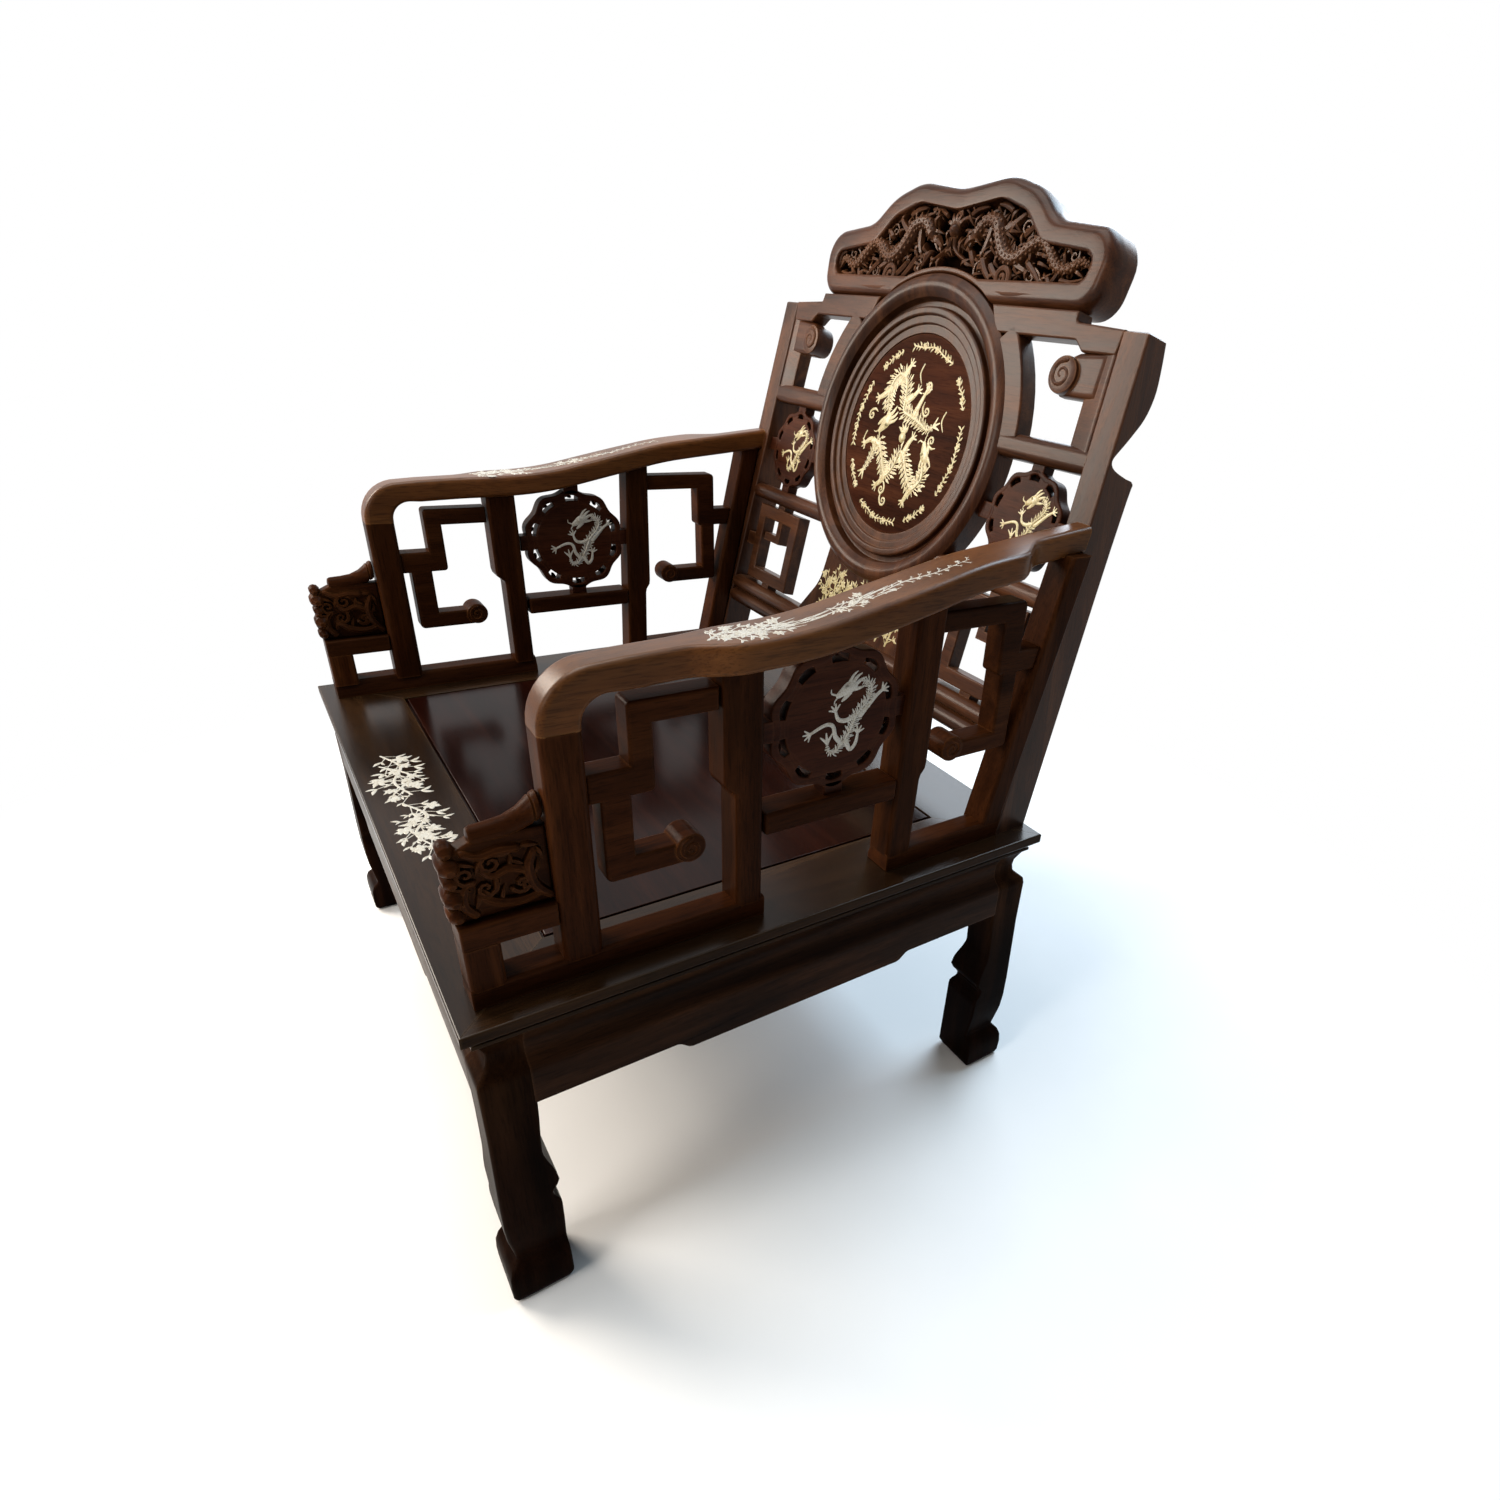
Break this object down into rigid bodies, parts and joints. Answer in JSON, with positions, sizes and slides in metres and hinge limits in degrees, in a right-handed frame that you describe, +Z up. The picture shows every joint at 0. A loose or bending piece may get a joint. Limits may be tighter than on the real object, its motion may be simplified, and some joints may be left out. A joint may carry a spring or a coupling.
{
  "type": "carved hardwood armchair",
  "caption": "Low, wide carved armchair with a panelled seat, fret and medallion arms, a raked back with a round framed panel, shell inlay and a lobed, pierced crest.",
  "frame": {"origin": "on the floor under the middle of the chair's bounding box", "axes": "+Z up, +X towards the sitter's left arm, -Y towards the front of the chair, the way a sitter faces"},
  "size_m": [0.8396, 0.8198, 1.0689],
  "materials": {
    "rosewood": "satin lacquer",
    "pearl": "polished shell"
  },
  "bodies": {
    "root": {"apron_front": "rosewood", "apron_left": "rosewood", "apron_rear": "rosewood", "apron_right": "rosewood", "arm_medallion_left": "rosewood", "arm_medallion_right": "rosewood", "arm_rail_left": "rosewood", "arm_rail_right": "rosewood", "bottom_rail": "rosewood", "carved_panel_left": "rosewood", "carved_panel_right": "rosewood", "crest": "rosewood", "front_fret_left": "rosewood", "front_fret_right": "rosewood", "front_post_left": "rosewood", "front_post_right": "rosewood", "front_sill_left": "rosewood", "front_sill_right": "rosewood", "leg_front_left": "rosewood", "leg_front_right": "rosewood", "leg_rear_left": "rosewood", "leg_rear_right": "rosewood", "lower_fret_left": "rosewood", "lower_fret_right": "rosewood", "lower_side_rail_left": "rosewood", "lower_side_rail_right": "rosewood", "medallion_rail_left": "rosewood", "medallion_rail_right": "rosewood", "mid_post_left": "rosewood", "mid_post_right": "rosewood", "pearl_inlay": "pearl", "rear_fret_left": "rosewood", "rear_fret_right": "rosewood", "rear_mid_post_left": "rosewood", "rear_mid_post_right": "rosewood", "rear_post_left": "rosewood", "rear_post_right": "rosewood", "rear_sill_left": "rosewood", "rear_sill_right": "rosewood", "ring": "rosewood", "round_panel": "rosewood", "scroll_bracket_left": "rosewood", "scroll_bracket_right": "rosewood", "seat_battens": "rosewood", "seat_panel": "rosewood", "seat_rail_front": "rosewood", "seat_rail_left": "rosewood", "seat_rail_rear": "rosewood", "seat_rail_right": "rosewood", "side_medallion_left": "rosewood", "side_medallion_right": "rosewood", "splat": "rosewood", "stile_left": "rosewood", "stile_right": "rosewood", "stub_post_left": "rosewood", "stub_post_right": "rosewood", "top_rail_left": "rosewood", "top_rail_right": "rosewood", "upper_side_rail_left": "rosewood", "upper_side_rail_right": "rosewood"}
  },
  "joints": []
}
